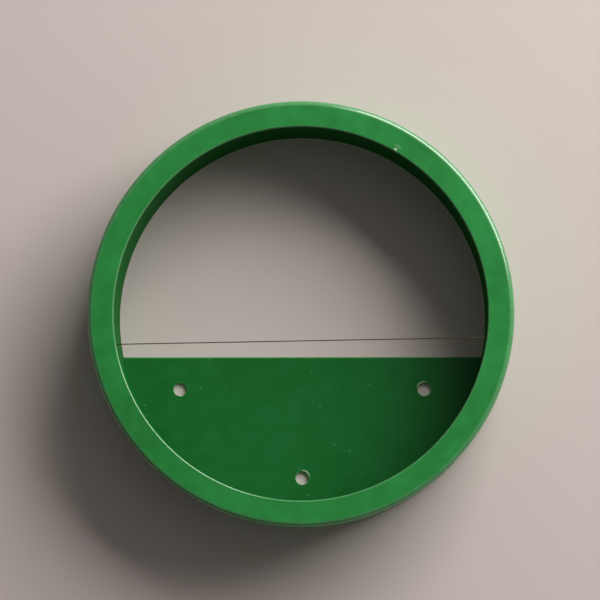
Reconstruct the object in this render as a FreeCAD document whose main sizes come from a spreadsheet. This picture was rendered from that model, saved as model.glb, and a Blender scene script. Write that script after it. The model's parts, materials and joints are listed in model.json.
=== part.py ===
import FreeCAD, Part
import math
import os
import Sketcher

# Round wall bracket: a hollow painted steel ring with a half-moon mounting plate across the
# lower part of its bore.
#
# The ring is a pressed front shell and a rolled sleeve that lines the bore, and it is open at the
# back. The plate closes the lower part of the bore on the wall side and takes three screws. A fine
# taut wire crosses the bore just above the plate. Stitch welds, all reached from the back, hold
# the steel pieces together.
#
# Frame: millimetres, +Z up, +X to the right as seen from the front, +Y into the wall. The origin
# is midway between the two upper screw holes, on the wall plane. Each sub-part is modelled about
# the ring's axis, and its Placement lifts it so that the screw holes come to height zero.

# The driving dimensions. A "drop" is a distance below the ring's axis, an "inset" a distance
# behind the front face, and a "sweep" an angle round the ring's axis, in degrees.
DRIVING_SIZES = {
    "ring_diameter": 171.0,
    "bore_diameter": 150.0,
    "ring_depth": 40.0,
    "steel_thickness": 1.5,
    "rim_bend_radius": 2.0,
    "bore_edge_radius": 0.4,
    "plate_thickness": 1.5,
    "plate_top_drop": 15.5,
    "plate_bevel": 1.0,
    "screw_hole_diameter": 5.5,
    "screw_spacing": 100.0,
    "upper_screw_drop": 28.7,
    "lower_screw_drop": 65.0,
    "wire_diameter": 0.4,
    "wire_drop": 11.2,
    "wire_inset": 1.0,
    "wire_tilt": 1.0,
    "sleeve_weld_leg": 2.0,
    "sleeve_weld_sweep": 18.0,
    "sleeve_weld_count": 8,
    "plate_weld_sweep": 14.0,
    "plate_weld_spread": 120.0,
    "plate_weld_count": 5,
}
PARTS_FOLDER = "parts"
TOLERANCE = 1e-6
HORIZONTAL_AXIS, VERTICAL_AXIS = -1, -2
SKETCH_ORIGIN = (-1, 1)
START, END, CENTRE = 1, 2, 3
RING_AXIS = FreeCAD.Vector(0, 1, 0)

document = FreeCAD.newDocument("round_wall_bracket")

sheet = document.addObject("Spreadsheet::Sheet", "Sizes")
for row, (alias, value) in enumerate(DRIVING_SIZES.items(), start=1):
    sheet.set(f"A{row}", alias)
    sheet.set(f"B{row}", str(value))
    sheet.setAlias(f"B{row}", alias)
document.recompute()


def size(alias):
    """A driving dimension as a plain number, for a sketch's first position."""
    return float(sheet.get(alias))


# --- Ways of making that the sub-parts share ------------------------------------------------------


def new_body(name, turn=0.0):
    """A body about the ring's axis, turned about it by some degrees and lifted into place."""
    body = document.addObject("PartDesign::Body", name)
    body.Label = name
    body.Placement.Rotation = FreeCAD.Rotation(RING_AXIS, turn)
    body.setExpression(".Placement.Base.z", "Sizes.upper_screw_drop")
    return body


def new_sketch(body, name, plane_role):
    """A sketch on one of the body's own origin planes."""
    plane = next(f for f in body.Origin.OriginFeatures if f.Role == plane_role)
    sketch = body.newObject("Sketcher::SketchObject", name)
    sketch.AttachmentSupport = [(plane, "")]
    sketch.MapMode = "FlatFace"
    return sketch


def draw_outline(sketch, corners, rounded=None):
    """Lines from corner to corner and back to the first, kept level or upright where they are.
    Line i starts at corner i. Rounded gives a corner's number its (name, radius, formula), and
    that corner, which must be square, becomes an arc tangent to both lines."""
    rounded = rounded or {}
    points = [FreeCAD.Vector(x, y, 0) for x, y in corners]
    cut_back = [rounded[i][1] if i in rounded else 0 for i in range(len(points))]
    for i, corner in enumerate(points):
        after = (i + 1) % len(points)
        along = (points[after] - corner).normalize()
        start = corner + along * cut_back[i]
        end = points[after] - along * cut_back[after]
        line = sketch.addGeometry(Part.LineSegment(start, end), False)
        if abs(along.y) < TOLERANCE:
            sketch.addConstraint(Sketcher.Constraint("Horizontal", line))
        if abs(along.x) < TOLERANCE:
            sketch.addConstraint(Sketcher.Constraint("Vertical", line))
    for line, corner in enumerate(points):
        before = (line - 1) % len(points)
        if line in rounded:
            round_corner(sketch, before, line, corner, *rounded[line])
        else:
            sketch.addConstraint(Sketcher.Constraint("Coincident", before, END, line, START))


def round_corner(sketch, before, after, corner, name, radius, formula):
    """An arc from the end of one line to the start of the next, tangent to both."""
    first = sketch.getPoint(before, END)
    last = sketch.getPoint(after, START)
    centre = first + last - corner
    middle = centre + (corner - centre).normalize() * radius
    arc = sketch.addGeometry(Part.Arc(first, middle, last), False)
    starts_first = sketch.getPoint(arc, START).distanceToPoint(first) < TOLERANCE
    near, far = (START, END) if starts_first else (END, START)
    sketch.addConstraint(Sketcher.Constraint("Tangent", before, END, arc, near))
    sketch.addConstraint(Sketcher.Constraint("Tangent", arc, far, after, START))
    drive(sketch, "Radius", (arc,), name, formula)


def drive(sketch, kind, elements, name, formula):
    """Adds a named dimension and binds it to a formula on the sheet. The dimension starts at
    the value that the drawn geometry already has."""
    if kind == "Radius":
        value = sketch.Geometry[elements[0]].Radius
    else:
        first = sketch.getPoint(*elements[:2])
        second = sketch.getPoint(*elements[2:])
        value = second.x - first.x if kind == "DistanceX" else second.y - first.y
    index = sketch.addConstraint(Sketcher.Constraint(kind, *elements, value))
    sketch.renameConstraint(index, name)
    sketch.setExpression(f"Constraints.{name}", formula)


def revolve(body, profile, name, kind="Revolution", sweep="360"):
    """Turns a profile about the ring's axis, which is the sketch's upright axis. A Revolution
    adds the turned solid and a Groove cuts it away."""
    turned = body.newObject(f"PartDesign::{kind}", name)
    turned.Profile = profile
    turned.ReferenceAxis = (profile, ["V_Axis"])
    turned.setExpression("Angle", sweep)
    document.recompute()
    return turned


def repeat_round(body, feature, name, count_formula, spread_formula):
    """Repeats a feature round the ring's axis, over the spread that the formula gives."""
    axis = next(f for f in body.Origin.OriginFeatures if f.Role == "Y_Axis")
    pattern = body.newObject("PartDesign::PolarPattern", name)
    pattern.Originals = [feature]
    pattern.Axis = (axis, [""])
    pattern.setExpression("Occurrences", count_formula)
    pattern.setExpression("Angle", spread_formula)
    body.Tip = pattern
    document.recompute()
    return pattern


# --- Front shell: the flat face and the outer wall, pressed from one sheet --------------------------


def make_front_shell():
    """An L-shaped profile turned about the axis. The corner between face and wall is a bend, and
    the bore's front edge is only broken, so it looks crisp."""
    outer = size("ring_diameter") / 2
    bore = size("bore_diameter") / 2
    depth = size("ring_depth")
    steel = size("steel_thickness")
    bend = size("rim_bend_radius")
    body = new_body("front_shell")
    profile = new_sketch(body, "shell_profile", "XY_Plane")
    corners = [
        (outer, 0),
        (outer, -depth),
        (bore, -depth),
        (bore, steel - depth),
        (outer - steel, steel - depth),
        (outer - steel, 0),
    ]
    draw_outline(profile, corners, {
        1: ("rim_bend", bend, "Sizes.rim_bend_radius"),
        2: ("bore_edge", size("bore_edge_radius"), "Sizes.bore_edge_radius"),
        4: ("inside_bend", bend - steel, "Sizes.rim_bend_radius - Sizes.steel_thickness"),
    })
    outer_wall, face_front, face_edge, _, inner_wall, _ = range(len(corners))
    profile.addConstraint(
        Sketcher.Constraint("PointOnObject", outer_wall, START, HORIZONTAL_AXIS))
    drive(profile, "DistanceX", (*SKETCH_ORIGIN, outer_wall, START), "outer",
          "Sizes.ring_diameter / 2")
    drive(profile, "DistanceX", (*SKETCH_ORIGIN, face_edge, END), "bore",
          "Sizes.bore_diameter / 2")
    drive(profile, "DistanceY", (face_front, START, *SKETCH_ORIGIN), "depth",
          "Sizes.ring_depth")
    drive(profile, "DistanceX", (inner_wall, END, outer_wall, START), "wall",
          "Sizes.steel_thickness")
    drive(profile, "DistanceY", (face_front, END, face_edge, END), "face",
          "Sizes.steel_thickness")
    revolve(body, profile, "shell_turned")
    return body


# --- Inner sleeve: a rolled strip that lines the bore, from the face to the wall --------------------


def make_inner_sleeve():
    """A plain rectangle turned about the axis."""
    bore = size("bore_diameter") / 2
    steel = size("steel_thickness")
    length = size("ring_depth") - steel
    body = new_body("inner_sleeve")
    profile = new_sketch(body, "sleeve_profile", "XY_Plane")
    draw_outline(profile, [(bore, 0), (bore, -length), (bore + steel, -length), (bore + steel, 0)])
    bore_wall, front_edge = 0, 1
    profile.addConstraint(
        Sketcher.Constraint("PointOnObject", bore_wall, START, HORIZONTAL_AXIS))
    drive(profile, "DistanceX", (*SKETCH_ORIGIN, bore_wall, START), "bore",
          "Sizes.bore_diameter / 2")
    drive(profile, "DistanceX", (front_edge, START, front_edge, END), "wall",
          "Sizes.steel_thickness")
    drive(profile, "DistanceY", (bore_wall, END, bore_wall, START), "length",
          "Sizes.ring_depth - Sizes.steel_thickness")
    revolve(body, profile, "sleeve_turned")
    return body


# --- Mounting plate: a half-moon across the lower part of the bore ----------------------------------


def make_mounting_plate():
    """The arc fits the bore, the chord is the straight upper edge, and the rear edge of the arc
    is bevelled to take the welds."""
    bore = size("bore_diameter") / 2
    top = -size("plate_top_drop")
    half_chord = math.sqrt(bore ** 2 - top ** 2)
    left_angle = math.atan2(top, -half_chord)
    right_angle = math.atan2(top, half_chord)
    body = new_body("mounting_plate")
    outline = new_sketch(body, "plate_outline", "XZ_Plane")
    circle = Part.Circle(FreeCAD.Vector(0, 0, 0), FreeCAD.Vector(0, 0, 1), bore)
    arc = outline.addGeometry(Part.ArcOfCircle(circle, left_angle, right_angle), False)
    chord = outline.addGeometry(Part.LineSegment(
        FreeCAD.Vector(half_chord, top, 0), FreeCAD.Vector(-half_chord, top, 0)), False)
    outline.addConstraint(Sketcher.Constraint("Coincident", arc, CENTRE, *SKETCH_ORIGIN))
    outline.addConstraint(Sketcher.Constraint("Coincident", arc, END, chord, START))
    outline.addConstraint(Sketcher.Constraint("Coincident", chord, END, arc, START))
    outline.addConstraint(Sketcher.Constraint("Horizontal", chord))
    drive(outline, "Radius", (arc,), "fit", "Sizes.bore_diameter / 2")
    drive(outline, "DistanceY", (chord, START, *SKETCH_ORIGIN), "top", "Sizes.plate_top_drop")
    add_screw_holes(outline)
    plate = body.newObject("PartDesign::Pad", "plate_cut")
    plate.Profile = outline
    plate.setExpression("Length", "Sizes.plate_thickness")
    document.recompute()
    square_volume = plate.Shape.Volume
    bevel = revolve(body, draw_bevel(body), "plate_bevelled", kind="Groove")
    if bevel.Shape.Volume >= square_volume:
        raise RuntimeError("the bevel cut nothing from the plate")
    return body


def draw_bevel(body):
    """The three-cornered section between the plate's arc and the sleeve, at the wall side."""
    bore = size("bore_diameter") / 2
    leg = size("plate_bevel")
    section = new_sketch(body, f"{body.Label}_bevel", "XY_Plane")
    draw_outline(section, [(bore, 0), (bore - leg, 0), (bore, -leg)])
    on_back, _, on_sleeve = range(3)
    section.addConstraint(Sketcher.Constraint("PointOnObject", on_back, START, HORIZONTAL_AXIS))
    drive(section, "DistanceX", (*SKETCH_ORIGIN, on_back, START), "bore",
          "Sizes.bore_diameter / 2")
    drive(section, "DistanceX", (on_back, END, on_back, START), "back_leg",
          "Sizes.plate_bevel")
    drive(section, "DistanceY", (on_sleeve, START, on_sleeve, END), "sleeve_leg",
          "Sizes.plate_bevel")
    return section


def add_screw_holes(outline):
    """Two holes level with each other and one on the centre line below them. The drawn circles
    are the plate outline's inner loops."""
    hole_radius = size("screw_hole_diameter") / 2
    half_spacing = size("screw_spacing") / 2
    holes = [
        ("left", -half_spacing, "upper_screw_drop"),
        ("right", half_spacing, "upper_screw_drop"),
        ("lower", 0, "lower_screw_drop"),
    ]
    for name, across, drop_alias in holes:
        centre = FreeCAD.Vector(across, -size(drop_alias), 0)
        hole = outline.addGeometry(
            Part.Circle(centre, FreeCAD.Vector(0, 0, 1), hole_radius), False)
        drive(outline, "Radius", (hole,), f"{name}_hole", "Sizes.screw_hole_diameter / 2")
        drive(outline, "DistanceY", (hole, CENTRE, *SKETCH_ORIGIN), f"{name}_drop",
              f"Sizes.{drop_alias}")
        if across < 0:
            drive(outline, "DistanceX", (hole, CENTRE, *SKETCH_ORIGIN), f"{name}_across",
                  "Sizes.screw_spacing / 2")
        elif across > 0:
            drive(outline, "DistanceX", (*SKETCH_ORIGIN, hole, CENTRE), f"{name}_across",
                  "Sizes.screw_spacing / 2")
        else:
            outline.addConstraint(
                Sketcher.Constraint("PointOnObject", hole, CENTRE, VERTICAL_AXIS))


# --- Stitch welds: short three-cornered beads, repeated round the axis -------------------------------


def make_sleeve_welds():
    """Fillet beads inside the channel, in the corner of the sleeve and the back of the face."""
    corner_radius = size("bore_diameter") / 2 + size("steel_thickness")
    corner_height = size("steel_thickness") - size("ring_depth")
    leg = size("sleeve_weld_leg")
    body = new_body("sleeve_welds")
    profile = new_sketch(body, "sleeve_bead", "XY_Plane")
    draw_outline(profile, [
        (corner_radius, corner_height),
        (corner_radius + leg, corner_height),
        (corner_radius, corner_height + leg),
    ])
    on_face, _, on_sleeve = range(3)
    drive(profile, "DistanceX", (*SKETCH_ORIGIN, on_face, START), "corner_radius",
          "Sizes.bore_diameter / 2 + Sizes.steel_thickness")
    drive(profile, "DistanceY", (on_face, START, *SKETCH_ORIGIN), "corner_height",
          "Sizes.ring_depth - Sizes.steel_thickness")
    drive(profile, "DistanceX", (on_face, START, on_face, END), "face_leg",
          "Sizes.sleeve_weld_leg")
    drive(profile, "DistanceY", (on_sleeve, END, on_sleeve, START), "sleeve_leg",
          "Sizes.sleeve_weld_leg")
    bead = revolve(body, profile, "sleeve_stitch", sweep="Sizes.sleeve_weld_sweep")
    repeat_round(body, bead, "sleeve_stitches", "Sizes.sleeve_weld_count", "360")
    return body


def make_plate_welds():
    """Beads that fill stretches of the bevel round the plate's arc, flush with its back, spread
    evenly to both sides of the lowest point."""
    first_turn = 90 - size("plate_weld_spread") / 2 - size("plate_weld_sweep") / 2
    body = new_body("plate_welds", first_turn)
    bead = revolve(body, draw_bevel(body), "plate_stitch", sweep="Sizes.plate_weld_sweep")
    repeat_round(body, bead, "plate_stitches", "Sizes.plate_weld_count",
                 "Sizes.plate_weld_spread")
    return body


# --- Cross wire: fine and taut, from wall to wall of the bore ----------------------------------------


def make_cross_wire():
    """A thin rod through the bore, a little higher on the right, kept only where it is inside
    the bore, so that its ends meet the wall."""
    rod = document.addObject("Part::Cylinder", "wire_rod")
    rod.setExpression("Radius", "Sizes.wire_diameter / 2")
    rod.setExpression("Height", "Sizes.ring_diameter")
    rod.Placement.Rotation = FreeCAD.Rotation(RING_AXIS, 90 - size("wire_tilt"))
    half_length = "Sizes.ring_diameter / 2"
    rod.setExpression(".Placement.Base.x", f"-{half_length} * cos(Sizes.wire_tilt)")
    rod.setExpression(".Placement.Base.y", "Sizes.wire_inset - Sizes.ring_depth")
    rod.setExpression(".Placement.Base.z",
                      f"-Sizes.wire_drop - {half_length} * sin(Sizes.wire_tilt)")
    bore_space = document.addObject("Part::Cylinder", "bore_space")
    bore_space.setExpression("Radius", "Sizes.bore_diameter / 2")
    bore_space.setExpression("Height", "Sizes.ring_depth")
    bore_space.Placement.Rotation = FreeCAD.Rotation(FreeCAD.Vector(1, 0, 0), 90)
    wire = document.addObject("Part::Common", "cross_wire")
    wire.Label = "cross_wire"
    wire.Base = rod
    wire.Tool = bore_space
    wire.setExpression(".Placement.Base.z", "Sizes.upper_screw_drop")
    return wire


# --- Build, check and write ---------------------------------------------------------------------------


def check_document():
    """Stops if any object of the document failed, since a recompute doesn't say so by itself."""
    for item in document.Objects:
        if "Invalid" in item.State or "Error" in item.State:
            raise RuntimeError(f"{item.Label} failed: {item.State}")


def check_sub_part(part, solids):
    """Stops unless the sub-part is sound and has as many separate solids as it should."""
    if part.Shape.isNull() or not part.Shape.isValid():
        raise RuntimeError(f"{part.Label} has no valid shape")
    if len(part.Shape.Solids) != solids:
        raise RuntimeError(f"{part.Label} has {len(part.Shape.Solids)} solids, not {solids}")


def shared_volume(part, other):
    """The volume that two sub-parts share, which is nothing where they only touch."""
    return part.Shape.common(other.Shape).Volume


solids_of = {
    make_front_shell(): 1,
    make_inner_sleeve(): 1,
    make_mounting_plate(): 1,
    make_sleeve_welds(): int(size("sleeve_weld_count")),
    make_plate_welds(): int(size("plate_weld_count")),
    make_cross_wire(): 1,
}
document.recompute()
check_document()
os.makedirs(PARTS_FOLDER, exist_ok=True)
made = list(solids_of)
for part, solids in solids_of.items():
    check_sub_part(part, solids)
for i, part in enumerate(made):
    for other in made[i + 1:]:
        if shared_volume(part, other) > TOLERANCE:
            raise RuntimeError(f"{part.Label} and {other.Label} overlap")
for part in made:
    part.Shape.exportStep(os.path.join(PARTS_FOLDER, f"{part.Label}.step"))
    box = part.Shape.optimalBoundingBox()
    print(f"{part.Label}: {part.Shape.Volume:.1f} mm3,"
          f" X {box.XMin:.2f} to {box.XMax:.2f},"
          f" Y {box.YMin:.2f} to {box.YMax:.2f},"
          f" Z {box.ZMin:.2f} to {box.ZMax:.2f}")
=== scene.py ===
# %% [markdown]
# # A round wall bracket in green powder coat
# The bracket is a hollow steel ring that stands off a wall. A pressed front shell and a rolled
# sleeve make the ring, a half-moon plate with three screw holes closes the lower part of its
# bore, and a fine taut wire crosses the bore just above the plate.
#
# The CAD frame gives every size. Each visible piece is made again here with softer edges and a
# real finish, in metres, in the same place.

# %% Load the frame
import json
import math

import bmesh
import bpy
from mathutils import Matrix, Vector


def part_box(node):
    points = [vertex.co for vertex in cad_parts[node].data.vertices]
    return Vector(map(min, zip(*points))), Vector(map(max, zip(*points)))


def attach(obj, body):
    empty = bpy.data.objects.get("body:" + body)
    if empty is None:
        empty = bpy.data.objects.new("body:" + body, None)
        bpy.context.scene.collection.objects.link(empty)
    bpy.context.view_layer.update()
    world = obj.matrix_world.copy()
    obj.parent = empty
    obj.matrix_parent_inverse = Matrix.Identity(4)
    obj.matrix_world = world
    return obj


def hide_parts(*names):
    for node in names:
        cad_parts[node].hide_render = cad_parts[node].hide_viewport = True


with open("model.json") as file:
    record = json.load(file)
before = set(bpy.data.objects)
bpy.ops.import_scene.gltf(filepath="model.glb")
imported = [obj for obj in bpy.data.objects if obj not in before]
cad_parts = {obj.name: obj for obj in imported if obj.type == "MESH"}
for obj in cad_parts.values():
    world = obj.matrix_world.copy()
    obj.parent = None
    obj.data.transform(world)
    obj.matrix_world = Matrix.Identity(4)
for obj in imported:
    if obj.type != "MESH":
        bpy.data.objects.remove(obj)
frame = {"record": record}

MM = 0.001
BODY = "root"
scene = bpy.context.scene
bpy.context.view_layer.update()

# %% [markdown]
# ## Sizes, read from the frame
# Nothing is measured twice. The shell's box gives the ring, the plate's lowest point gives the
# bore, and the step from the shell's front to the sleeve's front gives the sheet's thickness.

# %% Sizes of the ring, the plate and the wire
shell_low, shell_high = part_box("front_shell")
sleeve_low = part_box("inner_sleeve")[0]
plate_low, plate_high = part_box("mounting_plate")
wire_low, wire_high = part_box("cross_wire")
ring_height = (shell_low.z + shell_high.z) / 2
outer_radius = (shell_high.x - shell_low.x) / 2
bore_radius = ring_height - plate_low.z
front = shell_low.y
back = shell_high.y
steel = sleeve_low.y - front
mounts = {mount["name"]: mount for mount in frame["record"]["mounts"]}
print(f"ring {2 * outer_radius / MM:.1f} mm, bore {2 * bore_radius / MM:.1f} mm,"
      f" sheet {steel / MM:.1f} mm")

# %% [markdown]
# ## The camera
# A long lens a metre and a half away keeps the circles round. It stands a little below the
# ring and to its right, and looks up by a few degrees, so the upper wall of the bore shows. Two
# small side steps put the ring where it belongs in the picture.

# %% Camera
LENS, SENSOR_WIDTH = 218.8, 36.0
CAMERA_DISTANCE = 1.4588
NEAREST_SEEN = 0.01
LOOK_UP = math.radians(4.3)
LOOK_LEFT = math.radians(0.95)
AIM_RIGHT, AIM_DOWN = 0.0002, 0.003514

camera_data = bpy.data.cameras.new("camera")
camera_data.lens = LENS
camera_data.sensor_width = SENSOR_WIDTH
camera_data.clip_start = NEAREST_SEEN
camera_data.dof.use_dof = False
camera = bpy.data.objects.new("camera", camera_data)
scene.collection.objects.link(camera)
scene.camera = camera
forward = Vector((-math.sin(LOOK_LEFT) * math.cos(LOOK_UP),
                  math.cos(LOOK_LEFT) * math.cos(LOOK_UP),
                  math.sin(LOOK_UP)))
right = Vector((math.cos(LOOK_LEFT), math.sin(LOOK_LEFT), 0.0))
up = right.cross(forward)
ring_front = Vector((0.0, front, ring_height))
aim = forward + AIM_RIGHT * right - AIM_DOWN * up
camera.location = ring_front - CAMERA_DISTANCE * aim
camera.rotation_euler = forward.to_track_quat("-Z", "Y").to_euler()
print("camera at", [round(value, 3) for value in camera.location])

# %% [markdown]
# ## Helpers for colours and nodes
# Paint makers give colours as screen values, so each colour is written as a hex value and one
# function turns it to the linear light that the renderer works in. One more function adds a
# node, in a material or in a Geometry Nodes tree.

# %% Colour and node helpers


def linear(hex_colour):
    """A hex colour as linear red, green, blue and a full alpha."""
    values = [int(hex_colour[i:i + 2], 16) / 255 for i in (1, 3, 5)]
    return [v / 12.92 if v <= 0.04045 else ((v + 0.055) / 1.055) ** 2.4 for v in values] + [1.0]


def add_node(tree, kind, settings=None, inputs=None):
    """Adds a node, with its settings and with its inputs given as values or linked sockets."""
    node = tree.nodes.new(kind)
    for name, value in (settings or {}).items():
        setattr(node, name, value)
    for key, value in (inputs or {}).items():
        if isinstance(value, bpy.types.NodeSocket):
            tree.links.new(value, node.inputs[key])
        else:
            node.inputs[key].default_value = value
    return node


def per_mm(size_mm):
    """The scale of a noise whose features are so many millimetres apart."""
    return 1 / (size_mm * MM)


print("mid green in linear light:", [round(v, 3) for v in linear("#2F8040")])

# %% [markdown]
# ## Green powder coat
# The steel is dipped and sprayed with dry polyester powder, which melts in an oven into one
# even skin about 0.08 mm thick. It flows a little as it melts, so it keeps a faint orange peel,
# draws back from sharp edges, and shows slow drifts in tone where it lies thicker.
#
# One function makes three finishes from it. The shell's is satin, and hands have polished its
# rounded edges, so they catch a line of light; the paler green along those edges is partly thin
# paint and partly a painted highlight. The plate's is darker and closer to semi-gloss, and the
# rims of its screw holes are worn through, their pale crests partly a painted highlight. The
# bore's is the darkest and the most dull. The plate's and the bore's darker greens are painted
# shade, standing for the shade inside the recess. Where the skin is knocked or worn off, the
# bright zinc that the steel was dipped in shows.

# %% Tones and pattern sizes of the powder coat
# Each set holds a deep, a full and a paler edge tone; the paler edge tone is partly paint worn
# thin and partly a painted highlight.
SHELL_GREENS = ("#187C2F", "#249242", "#5A9C66")
# The plate's and the bore's greens are darker copies of the shell's green: painted shade for the
# recess they sit in.
PLATE_GREENS_PAINTED_SHADE = ("#176827", "#1D7134", "#3A9A4E")
BORE_GREENS_PAINTED_SHADE = ("#105C20", "#156525", "#2F8A43")
# Bare zinc at the chip; on the screw-hole lip crests it is partly a painted highlight.
BARE_ZINC_AND_LIP_HIGHLIGHT = "#C9D2C4"
PEEL_MM, FLOW_MM, DRIFT_MM = 1.6, 7.0, 38.0
PEEL_HEIGHT = 0.012 * MM
FLOW_SHARE, DRIFT_SHARE = 0.45, 0.55
DEEP_FROM, FULL_FROM = 0.35, 0.65
SATIN_SPREAD = 0.04
PAINT_IOR, FILM_IOR, FILM_ROUGHNESS = 1.5, 2.0, 0.12
print("powder coat: peel", PEEL_MM, "mm, flow", FLOW_MM, "mm, drift", DRIFT_MM, "mm")

# %% [markdown]
# ### Where the coat is gone, and the painted highlight on the lips
# Something knocked the ring's face near the bore at the upper right. The chip is a ragged spot
# of bare zinc, sunk below the paint, with a broken ring round it where the film has lifted. The
# lips of the screw holes stand proud, so they lose their paint to screws and screwdrivers, and
# their pale zinc crests also stand for a painted highlight on the lips. That paleness needs no
# painting by hand: it shows wherever the surface stands out beyond a depth.

# %% Chip, and worn lips with a painted highlight
WEAR_FADE = 0.03 * MM
CHIP_ANGLE = math.radians(59.9)
CHIP_RADIUS = bore_radius + 1.05 * MM
CHIP_SIZE, CHIP_RAGGED, CHIP_RAGGED_MM = 1.0 * MM, 1.2 * MM, 0.7
CHIP_SHEEN, CHIP_SUNK = 0.6, 6.0
BLISTER, BLISTER_HALF_WIDTH = 2.3 * MM, 0.22 * MM
BLISTER_PALE, BLISTER_RAISED, BLISTER_BREAKS = 0.3, 3.0, 0.42
chip_place = Vector((CHIP_RADIUS * math.cos(CHIP_ANGLE), front,
                     ring_height + CHIP_RADIUS * math.sin(CHIP_ANGLE)))


def blend_colour(tree, share, first, second):
    """Blends two colours, each a value or a socket, by a share from 0 to 1."""
    return add_node(tree, "ShaderNodeMix", {"data_type": "RGBA"}, {
        0: share, 6: first, 7: second}).outputs[2]


def wear_and_light_lips(tree, place, worn_and_lit_above, colour):
    """The coat's colour, turned to pale zinc wherever it stands out in front of a depth: partly
    wear, partly a painted highlight on the lip crests.
    """
    depth = add_node(tree, "ShaderNodeSeparateXYZ", inputs={0: place}).outputs["Y"]
    worn = add_node(tree, "ShaderNodeMapRange", inputs={
        "Value": depth, "From Min": worn_and_lit_above, "From Max": worn_and_lit_above - WEAR_FADE})
    return blend_colour(tree, worn.outputs["Result"], colour, linear(BARE_ZINC_AND_LIP_HIGHLIGHT))


def knock_chip(tree, place, flow, colour, height):
    """Knocks a chip at chip_place. Returns the coat's new colour, metallic and height."""
    away = add_node(tree, "ShaderNodeVectorMath", {"operation": "DISTANCE"}, {
        0: place, 1: chip_place}).outputs["Value"]
    ragged = add_node(tree, "ShaderNodeTexNoise", inputs={
        "Vector": place, "Scale": per_mm(CHIP_RAGGED_MM), "Detail": 3.0, "Roughness": 0.6})
    wobble = add_node(tree, "ShaderNodeMath", {"operation": "MULTIPLY_ADD"}, {
        0: ragged.outputs["Fac"], 1: CHIP_RAGGED, 2: away}).outputs[0]
    bare = add_node(tree, "ShaderNodeMapRange", inputs={
        "Value": wobble, "From Min": CHIP_SIZE + 0.25 * MM,
        "From Max": CHIP_SIZE + 0.05 * MM}).outputs["Result"]
    lifted = add_node(tree, "ShaderNodeMath", {"operation": "COMPARE"}, {
        0: wobble, 1: BLISTER, 2: BLISTER_HALF_WIDTH}).outputs[0]
    broken = add_node(tree, "ShaderNodeMath", {"operation": "GREATER_THAN"}, {
        0: flow, 1: BLISTER_BREAKS}).outputs[0]
    rim = add_node(tree, "ShaderNodeMath", {"operation": "MULTIPLY"}, {
        0: lifted, 1: broken}).outputs[0]
    pale_rim = add_node(tree, "ShaderNodeMath", {"operation": "MULTIPLY"}, {
        0: rim, 1: BLISTER_PALE}).outputs[0]
    colour = blend_colour(tree, pale_rim, colour, linear(BARE_ZINC_AND_LIP_HIGHLIGHT))
    colour = blend_colour(tree, bare, colour, linear(BARE_ZINC_AND_LIP_HIGHLIGHT))
    metallic = add_node(tree, "ShaderNodeMath", {"operation": "MULTIPLY"}, {
        0: bare, 1: CHIP_SHEEN}).outputs[0]
    sunk = add_node(tree, "ShaderNodeMath", {"operation": "MULTIPLY_ADD"}, {
        0: bare, 1: -CHIP_SUNK, 2: height}).outputs[0]
    height = add_node(tree, "ShaderNodeMath", {"operation": "MULTIPLY_ADD"}, {
        0: rim, 1: BLISTER_RAISED, 2: sunk}).outputs[0]
    return colour, metallic, height


print("chip at", [round(side / MM, 1) for side in chip_place], "mm")

# %% Powder coat material


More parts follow.
